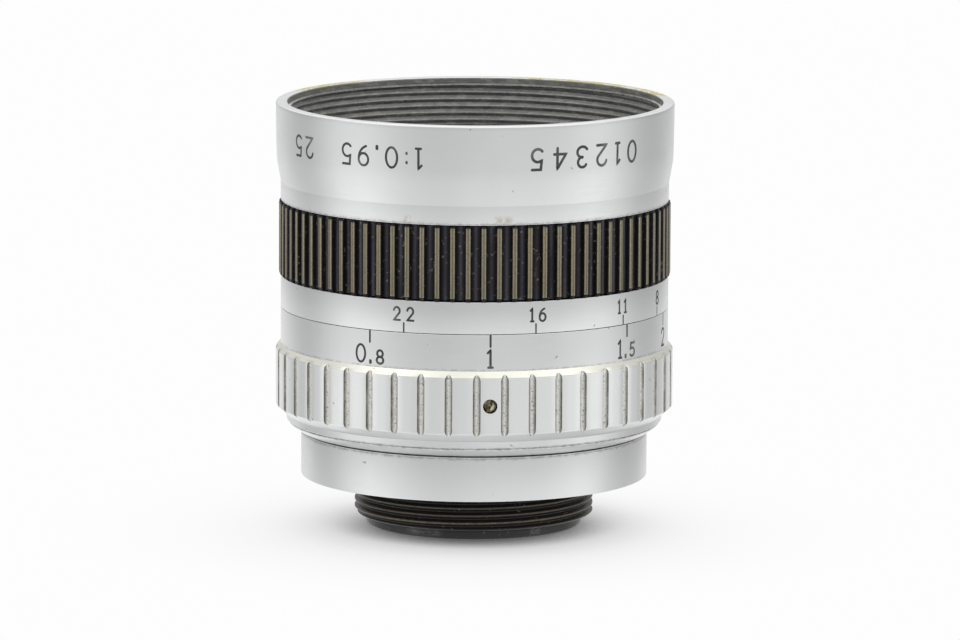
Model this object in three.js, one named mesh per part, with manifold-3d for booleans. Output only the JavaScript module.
// A fast prime lens for 16 mm cine cameras, standing front end up on its screw mount.
// Millimetres, +Z towards the subject, origin at the centre of the rear foot. Every angle is in degrees.
import * as THREE from "three";
import { mergeVertices } from "three/addons/utils/BufferGeometryUtils.js";
import Module from "manifold-3d";

const wasm = await Module();
wasm.setup();

// ---- Driving dimensions -------------------------------------------------------------------------

// Screw mount: 1 inch by 32 threads an inch, with its flange as the seat on the camera.
const INCH = 25.4;
const THREAD_RADIUS = INCH / 2;
const THREAD_PITCH = INCH / 32;
const THREAD_DEPTH = 0.43;
const THREAD_TURNS = 5;
const FOOT_RADIUS = 11.45;
const FOOT_HEIGHT = 1.0;
const FLANGE_Z = 5.31;
const MOUNT_BORE = 9.9;

// Outer sleeves, from the flange to the front rim.
const BASE_RADIUS = 18.42;
const BASE_TOP = 10.03;
const FOCUS_BOTTOM = 10.2;
const FOCUS_LIP_RADIUS = 18.62;
const SKIRT_RADIUS = 19.95;
const SKIRT_BOTTOM = 11.26;
const SKIRT_TOP = 11.93;
const GRIP_RADIUS = 21.12;
const GRIP_BOTTOM = 12.9;
const GRIP_TOP = 18.85;
const BAND_RADIUS = 20.6;
const BAND_BOTTOM = 19.48;
const FOCUS_TOP = 23.32;
const DEPTH_RING_BOTTOM = 23.38;
const DEPTH_RING_TOP = 26.74;
const APERTURE_BOTTOM = 26.79;
const APERTURE_TOP = 34.71;
const APERTURE_RADIUS = 20.8;
const FRONT_BOTTOM = 34.78;
const TAPER_BOTTOM = 36.79;
const TAPER_TOP = 39.09;
const TAPER_TOP_RADIUS = 21.02;
const RIM_RADIUS = 21.13;
const RIM_TOP = 45.21;
const FRONT_BORE = 19.89;
const FRONT_BORE_END = 39.9;
const FRONT_LIP_BOTTOM = 37.4;

// Grips.
const GRIP_GROOVES = 45;
const GRIP_GROOVE_RADIUS = 0.4;
const GROOVE_PHASE = -89.2;
const RIBS = 80;
const RIB_ROOT_RADIUS = 20.38;
const RIB_SHARE = 0.34;
const RIB_PHASE = -87.3;

// Sliding and turning fits.
const SLEEVE_BORE = 19.05;
const HOUSING_RADIUS = 19.0;
const HOUSING_BORE = 18.3;
const HELICOID_RADIUS = 17.0;
const HELICOID_TOP = 20.5;
const GUIDE_BORE = 15.6;
const GUIDE_RADIUS = 15.5;
const CELL_BORE = 14.6;
const FIT = 0.05;
const FOCUS_LEAD = 1.58;
const FOCUS_INFINITY = -28.7;
const FOCUS_CLOSEST = 154.7;

// Iris: ten blades, each on its own level, turned by a cam ring.
const BLADES = 10;
const STOP_RADIUS = 9.3;
const SMALLEST_STOP = 0.5;
const BLADE_INNER = 9.8;
const BLADE_OUTER = 14.3;
const BLADE_SPAN = 104;
const BLADE_THICKNESS = 0.08;
const BLADE_STEP = 0.12;
const BLADE_STACK_Z = 26.0;
const PIVOT_RADIUS = 15.5;
const PIVOT_PIN = 0.3;
const DRIVE_LEVER = 3.6;
const IRIS_PLATE_BOTTOM = 24.6;
const IRIS_PLATE_TOP = 25.8;
const CAM_BOTTOM = 27.4;
const CAM_TOP = 28.8;
const CAM_BORE = 13.9;
const CAM_TURN = 60;

// Glass cells: seats for the elements, from the front rim down to the rear.
const FRONT_CELL_TOP = 39.0;
const FRONT_CELL_BOTTOM = 29.5;
const FRONT_SEAT = 35.85;
const FRONT_ELEMENT_RADIUS = 17.0;
const SECOND_SEAT = 34.2;
const SECOND_ELEMENT_RADIUS = 13.2;
const REAR_CELL_TOP = 24.55;
const REAR_CELL_BOTTOM = 13.45;
const REAR_ELEMENT_RADIUS = 11.4;
const TAIL_TOP = 13.35;
const TAIL_SHOULDER = 8.4;
const TAIL_BOTTOM = 3.3;
const TAIL_RADIUS = 9.6;
const SEVENTH_ELEMENT_RADIUS = 9.95;
const LAST_ELEMENT_RADIUS = 8.75;
const SEAT_PLAY = 0.15;
const SPANNER_SLOT = 1.1;

const degrees = THREE.MathUtils.degToRad;
const BLADE_TURN = (2 * Math.asin((BLADE_INNER - SMALLEST_STOP) / (2 * PIVOT_RADIUS)) * 180) / Math.PI;

// ---- Solids -------------------------------------------------------------------------------------

const OUTER_SEGMENTS = 40;
const INNER_SEGMENTS = 24;
// A bore's facets lie inside its corners, so a turning fit puts the facets on the stated radius.
const bore = (radius) => radius / Math.cos(Math.PI / OUTER_SEGMENTS);

// The closed solid inside a three.js geometry, with its shared corners merged.
function solid(geometry) {
  const bare = new THREE.BufferGeometry();
  bare.setAttribute("position", geometry.getAttribute("position"));
  bare.setIndex(geometry.index);
  const merged = mergeVertices(bare, 1e-4);
  const corners = Array.from(merged.index.array);
  const kept = [];
  for (let i = 0; i < corners.length; i += 3) {
    const [a, b, c] = corners.slice(i, i + 3);
    if (a !== b && b !== c && c !== a) kept.push(a, b, c);
  }
  const vertProperties = merged.attributes.position.array;
  const mesh = new wasm.Mesh({ numProp: 3, vertProperties, triVerts: new Uint32Array(kept) });
  return new wasm.Manifold(mesh);
}

function geometryOf(body) {
  const mesh = body.getMesh();
  const geometry = new THREE.BufferGeometry();
  geometry.setAttribute("position", new THREE.BufferAttribute(mesh.vertProperties, 3));
  geometry.setIndex(new THREE.BufferAttribute(mesh.triVerts, 1));
  const faceted = geometry.toNonIndexed();
  faceted.computeVertexNormals();
  return faceted;
}

const cut = (body, tools) => tools.reduce((left, tool) => left.subtract(tool), body);
const join = (bodies) => bodies.reduce((all, body) => all.add(body));

// A solid turned about Z from an outline of [radius, z] corners. A ring's outline closes on itself.
function turned(outline, segments, isRing) {
  const corners = isRing ? [...outline, outline[0]] : outline;
  const area = corners.reduce((sum, [r, z], i) => {
    const [nextR, nextZ] = corners[(i + 1) % corners.length];
    return sum + r * nextZ - nextR * z;
  }, 0);
  const ordered = area > 0 ? corners : corners.slice().reverse();
  const points = ordered.map(([r, z]) => new THREE.Vector2(r, z));
  const geometry = new THREE.LatheGeometry(points, segments);
  geometry.rotateX(Math.PI / 2);
  geometry.rotateZ(Math.PI / 2);
  return solid(geometry);
}
const ring = (outline, segments = OUTER_SEGMENTS) => turned(outline, segments, true);
const tube = (inner, outer, low, high, segments = OUTER_SEGMENTS) =>
  ring([[inner, low], [outer, low], [outer, high], [inner, high]], segments);

function extruded(shape, low, high, curveSegments = 8) {
  const settings = { depth: high - low, bevelEnabled: false, curveSegments };
  const geometry = new THREE.ExtrudeGeometry(shape, settings);
  geometry.translate(0, 0, low);
  return solid(geometry);
}

// Part of a ring between two angles.
function sector(inner, outer, from, to, low, high, curveSegments = 12) {
  const shape = new THREE.Shape();
  shape.absarc(0, 0, outer, degrees(from), degrees(to), false);
  shape.absarc(0, 0, inner, degrees(to), degrees(from), true);
  return extruded(shape, low, high, curveSegments);
}

// A round bar along a radius, at an angle about Z.
function radialBar(radius, inner, outer, angle, height, sides = 12) {
  const bar = new THREE.CylinderGeometry(radius, radius, outer - inner, sides);
  bar.rotateZ(-Math.PI / 2);
  bar.translate((inner + outer) / 2, 0, height);
  bar.rotateZ(degrees(angle));
  return solid(bar);
}

function pin(radius, x, y, low, high) {
  const cylinder = new THREE.CylinderGeometry(radius, radius, high - low, 6);
  cylinder.rotateX(Math.PI / 2);
  cylinder.translate(x, y, (low + high) / 2);
  return solid(cylinder);
}

// Height lost by a sphere of the given radius at a distance from its axis.
const sag = (sphere, distance) => sphere - Math.sqrt(sphere * sphere - distance * distance);

// ---- Materials and nodes ------------------------------------------------------------------------

const lens = new THREE.Group();
const finish = (colour, roughness, metalness) => ({ color: colour, roughness, metalness });
const SATIN_SILVER = finish(0xcfd2d2, 0.38, 0.85);
const BLACK_ANODISED = finish(0x1b1c1f, 0.45, 0.35);
const MATT_BLACK = finish(0x101011, 0.8, 0.1);
const DARK_THREAD = finish(0x2b2724, 0.42, 0.6);
const BRASS = finish(0x9c8150, 0.35, 0.9);
const STEEL = finish(0x8d8f90, 0.35, 0.9);
const COATED_GLASS = { color: 0xc9d4d6, roughness: 0.03, metalness: 0, transparent: true, opacity: 0.35 };

function add(name, body, material) {
  const mesh = new THREE.Mesh(geometryOf(body), new THREE.MeshStandardMaterial(material));
  mesh.name = name;
  lens.add(mesh);
}

// ---- Mount and fixed barrel ---------------------------------------------------------------------

function mountThreadRing() {
  const seat = 1.6;
  const outline = [
    [MOUNT_BORE, 0],
    [FOOT_RADIUS, 0],
    [FOOT_RADIUS, FOOT_HEIGHT],
    [THREAD_RADIUS - THREAD_DEPTH, FOOT_HEIGHT + THREAD_DEPTH / 2],
  ];
  for (let turn = THREAD_TURNS; turn >= 1; turn -= 1) {
    const crest = FLANGE_Z - 0.24 - (turn - 0.5) * THREAD_PITCH;
    outline.push([THREAD_RADIUS, crest - THREAD_PITCH * 0.1]);
    outline.push([THREAD_RADIUS, crest + THREAD_PITCH * 0.1]);
    outline.push([THREAD_RADIUS - THREAD_DEPTH, crest + THREAD_PITCH * 0.5]);
  }
  outline.push([THREAD_RADIUS - THREAD_DEPTH, FLANGE_Z]);
  outline.push([THREAD_RADIUS + 1.5, FLANGE_Z]);
  outline.push([THREAD_RADIUS + 1.5, FLANGE_Z + seat]);
  outline.push([MOUNT_BORE, FLANGE_Z + seat]);
  return ring(outline);
}

const GUIDE_ANGLE = 300;
const GUIDE_KEY = { width: 2.4, low: 12, high: 16, inner: 14.75, outer: 16.95 };
const keyHalfAngle = (width, radius) => (Math.asin(width / 2 / radius) * 180) / Math.PI;
const STOP_SCREW = { angle: 80, height: 13.5, radius: 0.6 };

function keyBlock(inner, outer, width, low, high) {
  const block = new THREE.BoxGeometry(outer - inner, width, high - low);
  block.translate((inner + outer) / 2, 0, (low + high) / 2);
  block.rotateZ(degrees(GUIDE_ANGLE));
  return solid(block);
}

function baseBarrel() {
  const seat = THREAD_RADIUS + 1.55;
  const shell = ring([
    [seat, FLANGE_Z],
    [BASE_RADIUS - 0.15, FLANGE_Z],
    [BASE_RADIUS, FLANGE_Z + 0.15],
    [BASE_RADIUS, BASE_TOP - 0.12],
    [BASE_RADIUS - 0.12, BASE_TOP],
    [HELICOID_RADIUS, BASE_TOP],
    [HELICOID_RADIUS, HELICOID_TOP],
    [GUIDE_BORE, HELICOID_TOP],
    [GUIDE_BORE, FLANGE_Z + 1.7],
    [seat, FLANGE_Z + 1.7],
  ]);
  const window = keyBlock(
    GUIDE_BORE - 1,
    HELICOID_RADIUS + 1,
    GUIDE_KEY.width + 2 * FIT,
    GUIDE_KEY.low - FIT,
    GUIDE_KEY.high + FIT,
  );
  const play = 0.12;
  const rise = (FOCUS_LEAD / 360) * FOCUS_CLOSEST;
  const fall = (FOCUS_LEAD / 360) * FOCUS_INFINITY;
  const screwAngle = keyHalfAngle(2 * STOP_SCREW.radius, HELICOID_RADIUS) + 0.5;
  const stopGroove = sector(
    HELICOID_RADIUS - 0.7,
    HELICOID_RADIUS + 1,
    STOP_SCREW.angle + FOCUS_INFINITY - screwAngle,
    STOP_SCREW.angle + FOCUS_CLOSEST + screwAngle,
    STOP_SCREW.height + fall - STOP_SCREW.radius - play,
    STOP_SCREW.height + rise + STOP_SCREW.radius + play,
    24,
  );
  return cut(shell, [window, stopGroove]);
}

add("mount_thread_ring", mountThreadRing(), DARK_THREAD);
add("base_barrel", baseBarrel(), SATIN_SILVER);
add(
  "guide_key",
  keyBlock(GUIDE_KEY.inner, GUIDE_KEY.outer, GUIDE_KEY.width, GUIDE_KEY.low, GUIDE_KEY.high),
  BRASS,
);

// ---- Focus ring, its helicoid nut and their screws ----------------------------------------------

const NUT_RADIUS = SLEEVE_BORE - 0.05;
const NUT_BOTTOM = 11.05;
const NUT_TOP = 22.4;
const SET_SCREW = { radius: 0.715, height: 15.87, inner: 18.5, outer: GRIP_RADIUS - 0.22, angle: -85.4 };
const setScrewAngle = (index) => SET_SCREW.angle + index * 120;
const setScrewBar = (radius, inner, outer, index) =>
  radialBar(radius, inner, outer, setScrewAngle(index), SET_SCREW.height);
const setScrewHole = (index) =>
  setScrewBar(SET_SCREW.radius + FIT, SET_SCREW.inner - FIT, GRIP_RADIUS + 1, index);

function focusRing() {
  const shell = ring([
    [bore(HELICOID_RADIUS + 0.15), FOCUS_BOTTOM],
    [FOCUS_LIP_RADIUS, FOCUS_BOTTOM],
    [FOCUS_LIP_RADIUS + 0.78, FOCUS_BOTTOM + 0.5],
    [SKIRT_RADIUS - 0.15, SKIRT_BOTTOM - 0.15],
    [SKIRT_RADIUS, SKIRT_BOTTOM],
    [SKIRT_RADIUS + 0.05, SKIRT_TOP],
    [GRIP_RADIUS, GRIP_BOTTOM],
    [GRIP_RADIUS, GRIP_TOP],
    [BAND_RADIUS, BAND_BOTTOM],
    [BAND_RADIUS, FOCUS_TOP],
    [bore(SLEEVE_BORE), FOCUS_TOP],
    [bore(SLEEVE_BORE), NUT_BOTTOM - 0.05],
    [bore(HELICOID_RADIUS + 0.15), NUT_BOTTOM - 0.05],
  ]);
  const tools = [];
  for (let i = 0; i < GRIP_GROOVES; i += 1) {
    const length = BAND_BOTTOM - SKIRT_TOP;
    const cutter = new THREE.CylinderGeometry(GRIP_GROOVE_RADIUS, GRIP_GROOVE_RADIUS, length, 6);
    cutter.rotateX(Math.PI / 2);
    cutter.translate(GRIP_RADIUS, 0, SKIRT_TOP + length / 2);
    cutter.rotateZ(degrees(GROOVE_PHASE + (i * 360) / GRIP_GROOVES));
    tools.push(solid(cutter));
  }
  for (let i = 0; i < 3; i += 1) tools.push(setScrewHole(i));
  return cut(shell, tools);
}

function helicoidNut() {
  const lip = 16.25;
  const shell = ring([
    [bore(HELICOID_RADIUS + 0.06), NUT_BOTTOM],
    [NUT_RADIUS, NUT_BOTTOM],
    [NUT_RADIUS, NUT_TOP],
    [bore(lip), NUT_TOP],
    [bore(lip), NUT_TOP - 0.9],
    [bore(HELICOID_RADIUS + 0.06), NUT_TOP - 0.9],
  ]);
  const stopHole = radialBar(
    STOP_SCREW.radius + FIT,
    HELICOID_RADIUS - 1,
    NUT_RADIUS + 1,
    STOP_SCREW.angle,
    STOP_SCREW.height,
  );
  return cut(shell, [setScrewHole(0), setScrewHole(1), setScrewHole(2), stopHole]);
}

function setScrew(index) {
  const shank = setScrewBar(SET_SCREW.radius, SET_SCREW.inner, SET_SCREW.outer, index);
  const slot = new THREE.BoxGeometry(0.7, 0.28, 2);
  slot.rotateX(degrees(12));
  slot.translate(SET_SCREW.outer, 0, SET_SCREW.height);
  slot.rotateZ(degrees(setScrewAngle(index)));
  return shank.subtract(solid(slot));
}

add("focus_ring", focusRing(), SATIN_SILVER);
add("focus_helicoid_nut", helicoidNut(), BRASS);
for (let i = 0; i < 3; i += 1) add(`focus_set_screw_${i + 1}`, setScrew(i), BRASS);
add(
  "focus_stop_screw",
  radialBar(STOP_SCREW.radius, HELICOID_RADIUS - 0.6, NUT_RADIUS - 0.1, STOP_SCREW.angle, STOP_SCREW.height),
  STEEL,
);

// ---- Sliding barrel and the sleeves fixed on it -------------------------------------------------

const DRIVE_SCREW = { angle: 200, radius: 0.45, height: (CAM_BOTTOM + CAM_TOP) / 2 };
const HOUSING_TOP = 36.0;

// Where a blade's drive pin is, from the blade's own pivot, at a turn of the blade.
function drivePin(turn) {
  const direction = degrees(90 - BLADE_TURN / 2 + turn);
  const lever = new THREE.Vector2(DRIVE_LEVER, 0).rotateAround(new THREE.Vector2(), direction);
  return lever.add(new THREE.Vector2(PIVOT_RADIUS, 0));
}

function mainBarrel() {
  const shell = ring([
    [CELL_BORE, 8.2],
    [GUIDE_RADIUS, 8.2],
    [GUIDE_RADIUS, NUT_TOP + 0.1],
    [HOUSING_RADIUS, NUT_TOP + 0.1],
    [HOUSING_RADIUS, HOUSING_TOP],
    [HOUSING_BORE, HOUSING_TOP],
    [HOUSING_BORE, IRIS_PLATE_TOP],
    [STOP_RADIUS, IRIS_PLATE_TOP],
    [STOP_RADIUS, IRIS_PLATE_BOTTOM],
    [CELL_BORE, IRIS_PLATE_BOTTOM],
  ]);
  const travel = 1.1;
  const tools = [
    keyBlock(
      CELL_BORE - 1,
      GUIDE_RADIUS + 1,
      GUIDE_KEY.width + 2 * FIT,
      GUIDE_KEY.low - travel,
      GUIDE_KEY.high + travel,
    ),
    sector(
      HOUSING_BORE - 0.5,
      HOUSING_RADIUS + 0.5,
      DRIVE_SCREW.angle - 2.4,
      DRIVE_SCREW.angle + CAM_TURN + 2.4,
      DRIVE_SCREW.height - DRIVE_SCREW.radius - 0.1,
      DRIVE_SCREW.height + DRIVE_SCREW.radius + 0.1,
    ),
  ];
  for (let i = 0; i < BLADES; i += 1) {
    const centre = new THREE.Vector2();
    const at = new THREE.Vector2(PIVOT_RADIUS, 0).rotateAround(centre, degrees((i * 360) / BLADES));
    tools.push(pin(PIVOT_PIN + 0.06, at.x, at.y, IRIS_PLATE_BOTTOM + 0.3, IRIS_PLATE_TOP + 1));
  }
  return cut(shell, tools);
}

function frontRing() {
  const lip = 18.4;
  return ring([
    [SLEEVE_BORE, FRONT_BOTTOM],
    [BAND_RADIUS, FRONT_BOTTOM],
    [BAND_RADIUS + 0.02, TAPER_BOTTOM],
    [TAPER_TOP_RADIUS, TAPER_TOP],
    [RIM_RADIUS, RIM_TOP - 0.2],
    [RIM_RADIUS - 0.15, RIM_TOP],
    [FRONT_BORE + 0.18, RIM_TOP],
    [FRONT_BORE, RIM_TOP - 0.18],
    [FRONT_BORE, FRONT_BORE_END],
    [lip, FRONT_BORE_END - 0.4],
    [lip, FRONT_LIP_BOTTOM],
    [SLEEVE_BORE, FRONT_LIP_BOTTOM],
  ]);
}

add("main_barrel", mainBarrel(), BLACK_ANODISED);
add("depth_scale_ring", tube(SLEEVE_BORE, BAND_RADIUS, DEPTH_RING_BOTTOM, DEPTH_RING_TOP), SATIN_SILVER);
add("front_ring", frontRing(), SATIN_SILVER);
add("focus_retaining_ring", tube(GUIDE_RADIUS + 0.05, HELICOID_RADIUS - 0.05, 20.95, 21.4), STEEL);

// ---- Aperture ring ------------------------------------------------------------------------------

const DRIVE_SCREW_INNER = 17.5;
const DRIVE_SCREW_OUTER = 20.1;
const driveScrewBar = (radius, inner, outer) =>
  radialBar(radius, inner, outer, DRIVE_SCREW.angle, DRIVE_SCREW.height);
const driveScrewHole = (outer) => driveScrewBar(DRIVE_SCREW.radius + FIT, DRIVE_SCREW_INNER - FIT, outer);

function apertureRing() {
  const pitch = 360 / RIBS;
  const outline = [];
  for (let i = 0; i < RIBS; i += 1) {
    const centre = RIB_PHASE + i * pitch;
    const corners = [
      [RIB_ROOT_RADIUS, -RIB_SHARE - 0.06],
      [APERTURE_RADIUS, -RIB_SHARE / 1.5],
      [APERTURE_RADIUS, RIB_SHARE / 1.5],
      [RIB_ROOT_RADIUS, RIB_SHARE + 0.06],
    ];
    for (const [radius, share] of corners) {
      const angle = degrees(centre + share * pitch);
      outline.push(new THREE.Vector2(radius * Math.cos(angle), radius * Math.sin(angle)));
    }
  }
  const shape = new THREE.Shape(outline);
  const opening = new THREE.Path();
  opening.absarc(0, 0, bore(SLEEVE_BORE), 0, 2 * Math.PI, true);
  shape.holes.push(opening);
  const sleeve = extruded(shape, APERTURE_BOTTOM, APERTURE_TOP, OUTER_SEGMENTS);
  return sleeve.subtract(driveScrewHole(DRIVE_SCREW_OUTER + FIT));
}

// The cam slot follows the drive pin while the ring turns CAM_TURN for a blade's BLADE_TURN.
function camSlot(index) {
  const halfWidth = 0.35;
  const steps = 8;
  const overrun = 2;
  const path = [];
  for (let i = 0; i <= steps; i += 1) {
    const turn = -overrun + (i * (BLADE_TURN + 2 * overrun)) / steps;
    const ringTurn = (turn * CAM_TURN) / BLADE_TURN;
    path.push(drivePin(turn).rotateAround(new THREE.Vector2(), degrees(-ringTurn + (index * 360) / BLADES)));
  }
  const side = (sign) =>
    path.map((at, i) => {
      const along = path[Math.min(i + 1, steps)].clone().sub(path[Math.max(i - 1, 0)]).normalize();
      return new THREE.Vector2(at.x - sign * halfWidth * along.y, at.y + sign * halfWidth * along.x);
    });
  return extruded(new THREE.Shape([...side(1), ...side(-1).reverse()]), CAM_BOTTOM - 1, CAM_TOP + 1);
}

function camRing() {
  const plate = tube(CAM_BORE, HOUSING_BORE - 0.1, CAM_BOTTOM, CAM_TOP);
  const slots = Array.from({ length: BLADES }, (_, i) => camSlot(i));
  return cut(plate, [...slots, driveScrewHole(HOUSING_BORE + 1)]);
}

add("aperture_ring", apertureRing(), BLACK_ANODISED);
add("iris_cam_ring", camRing(), STEEL);
add(
  "aperture_drive_screw",
  driveScrewBar(DRIVE_SCREW.radius, DRIVE_SCREW_INNER, DRIVE_SCREW_OUTER),
  STEEL,
);

// ---- Iris blades --------------------------------------------------------------------------------

// A flat bar with round ends from one point to another.
function bar(from, to, radius, low, high) {
  const along = Math.atan2(to.y - from.y, to.x - from.x);
  const shape = new THREE.Shape();
  shape.absarc(to.x, to.y, radius, along - Math.PI / 2, along + Math.PI / 2, false);
  shape.absarc(from.x, from.y, radius, along + Math.PI / 2, along + (3 * Math.PI) / 2, false);
  return extruded(shape, low, high, 3);
}

function irisBlade(index) {
  const low = BLADE_STACK_Z + index * BLADE_STEP;
  const high = low + BLADE_THICKNESS;
  const pivot = new THREE.Vector2(PIVOT_RADIUS, 0);
  const drive = drivePin(0);
  const root = new THREE.Vector2(BLADE_OUTER - 1, 1.1);
  const body = join([
    sector(BLADE_INNER, BLADE_OUTER, 0, BLADE_SPAN, low, high, 7),
    bar(root, pivot, 0.8, low, high),
    bar(pivot, drive, 0.6, low, high),
    pin(PIVOT_PIN, pivot.x, pivot.y, IRIS_PLATE_BOTTOM + 0.5, high - 0.01),
    pin(PIVOT_PIN - 0.03, drive.x, drive.y, low + 0.01, CAM_TOP - 0.2),
  ]);
  return body.rotate([0, 0, (index * 360) / BLADES]);
}

for (let i = 0; i < BLADES; i += 1) add(`iris_blade_${i + 1}`, irisBlade(i), MATT_BLACK);
add("iris_cover_ring", tube(12, HOUSING_BORE - 0.05, CAM_TOP + 0.15, 29.25, INNER_SEGMENTS), BLACK_ANODISED);

// ---- Cells, spacers and retaining rings ---------------------------------------------------------

add(
  "front_cell",
  ring([
    [SECOND_ELEMENT_RADIUS - 0.6, FRONT_CELL_BOTTOM],
    [HOUSING_BORE - FIT, FRONT_CELL_BOTTOM],
    [HOUSING_BORE - FIT, HOUSING_TOP + FIT],
    [HOUSING_RADIUS, HOUSING_TOP + FIT],
    [HOUSING_RADIUS, FRONT_LIP_BOTTOM - 0.1],
    [HOUSING_BORE, FRONT_LIP_BOTTOM - 0.1],
    [HOUSING_BORE, FRONT_CELL_TOP],
    [FRONT_ELEMENT_RADIUS + SEAT_PLAY, FRONT_CELL_TOP],
    [FRONT_ELEMENT_RADIUS + SEAT_PLAY, FRONT_SEAT],
    [FRONT_ELEMENT_RADIUS - 1.1, FRONT_SEAT],
    [FRONT_ELEMENT_RADIUS - 1.1, SECOND_SEAT],
    [SECOND_ELEMENT_RADIUS + SEAT_PLAY, SECOND_SEAT],
    [SECOND_ELEMENT_RADIUS + SEAT_PLAY, FRONT_CELL_BOTTOM + 0.95],
  ]),
  BLACK_ANODISED,
);

// A retaining ring with two slots across it for a pin spanner.
function slottedRing(inner, outer, low, high) {
  const slot = new THREE.BoxGeometry(2 * outer + 1, SPANNER_SLOT, 1);
  slot.translate(0, 0, high);
  return tube(inner, outer, low, high, INNER_SEGMENTS).subtract(solid(slot));
}

add(
  "front_retaining_ring",
  slottedRing(FRONT_ELEMENT_RADIUS - 1, FRONT_ELEMENT_RADIUS + FIT, 37.6, FRONT_CELL_TOP - 0.2),
  MATT_BLACK,
);
add(
  "front_spacer_ring",
  ring(
    [
      [SECOND_ELEMENT_RADIUS - 0.25, SECOND_SEAT - 1],
      [SECOND_ELEMENT_RADIUS + FIT, SECOND_SEAT - 1],
      [SECOND_ELEMENT_RADIUS + FIT, SECOND_SEAT + FIT],
      [FRONT_ELEMENT_RADIUS - 1.2, SECOND_SEAT + FIT],
      [FRONT_ELEMENT_RADIUS - 1.2, FRONT_SEAT - 0.1],
      [FRONT_ELEMENT_RADIUS - 2.1, FRONT_SEAT - 0.1],
      [SECOND_ELEMENT_RADIUS - 0.25, SECOND_SEAT + 0.4],
    ],
    INNER_SEGMENTS,
  ),
  MATT_BLACK,
);
add(
  "rear_cell",
  ring(
    [
      [REAR_ELEMENT_RADIUS - 1.4, REAR_CELL_TOP],
      [REAR_ELEMENT_RADIUS - 1.4, REAR_CELL_TOP - 0.25],
      [REAR_ELEMENT_RADIUS + 0.1, REAR_CELL_TOP - 0.25],
      [REAR_ELEMENT_RADIUS + 0.1, REAR_CELL_BOTTOM],
      [CELL_BORE - 0.1, REAR_CELL_BOTTOM],
      [CELL_BORE - 0.1, REAR_CELL_TOP],
    ],
    INNER_SEGMENTS,
  ),
  BLACK_ANODISED,
);
add(
  "rear_spacer_ring",
  tube(REAR_ELEMENT_RADIUS - 1, REAR_ELEMENT_RADIUS, 15.1, 18.6, INNER_SEGMENTS),
  MATT_BLACK,
);
add(
  "rear_element_cell",
  ring(
    [
      [LAST_ELEMENT_RADIUS + SEAT_PLAY, TAIL_BOTTOM],
      [TAIL_RADIUS, TAIL_BOTTOM],
      [TAIL_RADIUS, TAIL_SHOULDER],
      [CELL_BORE - 0.1, TAIL_SHOULDER],
      [CELL_BORE - 0.1, TAIL_TOP],
      [SEVENTH_ELEMENT_RADIUS + SEAT_PLAY, TAIL_TOP],
      [SEVENTH_ELEMENT_RADIUS + SEAT_PLAY, TAIL_SHOULDER + 0.6],
      [SEVENTH_ELEMENT_RADIUS - 0.75, TAIL_SHOULDER + 0.6],
      [SEVENTH_ELEMENT_RADIUS - 0.75, TAIL_SHOULDER - 0.2],
      [LAST_ELEMENT_RADIUS - 0.45, TAIL_SHOULDER - 0.8],
      [LAST_ELEMENT_RADIUS - 0.45, TAIL_BOTTOM + 3.15],
      [LAST_ELEMENT_RADIUS + SEAT_PLAY, TAIL_BOTTOM + 3.15],
    ],
    INNER_SEGMENTS,
  ),
  BLACK_ANODISED,
);
add(
  "rear_inner_retaining_ring",
  slottedRing(SEVENTH_ELEMENT_RADIUS - 0.75, SEVENTH_ELEMENT_RADIUS + FIT, 10.6, 11.7),
  MATT_BLACK,
);
// The rearmost ring is upside down: its slots face the camera.
function rearRetainingRing() {
  const low = TAIL_BOTTOM + 0.2;
  const slot = new THREE.BoxGeometry(2 * TAIL_RADIUS, 1, 0.9);
  slot.translate(0, 0, low);
  const body = tube(LAST_ELEMENT_RADIUS - 0.85, LAST_ELEMENT_RADIUS + FIT, low, low + 0.95, INNER_SEGMENTS);
  return body.subtract(solid(slot));
}
add("rear_retaining_ring", rearRetainingRing(), MATT_BLACK);

// ---- Glass: eight elements in six groups --------------------------------------------------------

// Each face is [z on the axis, sphere radius, clear radius]; a positive sphere radius bulges towards +Z.
// Outside its clear radius a face is flat.
function element(radius, front, back) {
  const steps = 2;
  const height = ([vertex, sphere], distance) => vertex - Math.sign(sphere) * sag(Math.abs(sphere), distance);
  const face = (surface) => {
    const clear = surface[2] ?? radius;
    const points = [];
    for (let i = 0; i <= steps; i += 1) {
      const distance = (clear * i) / steps;
      points.push([distance, height(surface, distance)]);
    }
    return points;
  };
  const flat = (surface) => height(surface, surface[2] ?? radius);
  const chamfer = 1;
  const outline = face(back);
  if (back[2]) outline.push([radius - chamfer, flat(back)], [radius, flat(back) + chamfer]);
  const top = face(front).reverse();
  if (front[2]) top.unshift([radius, flat(front)]);
  return turned([...outline, ...top], INNER_SEGMENTS, false);
}

const CEMENT = 0.02;
const ELEMENTS = [
  [FRONT_ELEMENT_RADIUS, [40.6, 42], [37.0, 140]],
  [SECOND_ELEMENT_RADIUS, [36.0, 30], [32.8, 100]],
  [SECOND_ELEMENT_RADIUS, [32.8 - CEMENT, 100], [31.9, 20, 9.8]],
  [REAR_ELEMENT_RADIUS, [21.8, -20, 9.6], [20.6, -80]],
  [REAR_ELEMENT_RADIUS, [20.6 - CEMENT, -80], [16.6, -26]],
  [REAR_ELEMENT_RADIUS, [16.2, 45], [12.6, -45]],
  [SEVENTH_ELEMENT_RADIUS, [12.1, 26], [8.6, -90]],
  [LAST_ELEMENT_RADIUS, [7.9, 22], [5.2, 60]],
];
ELEMENTS.forEach(([radius, front, back], i) => {
  add(`lens_element_${i + 1}`, element(radius, front, back), COATED_GLASS);
});

export default lens;
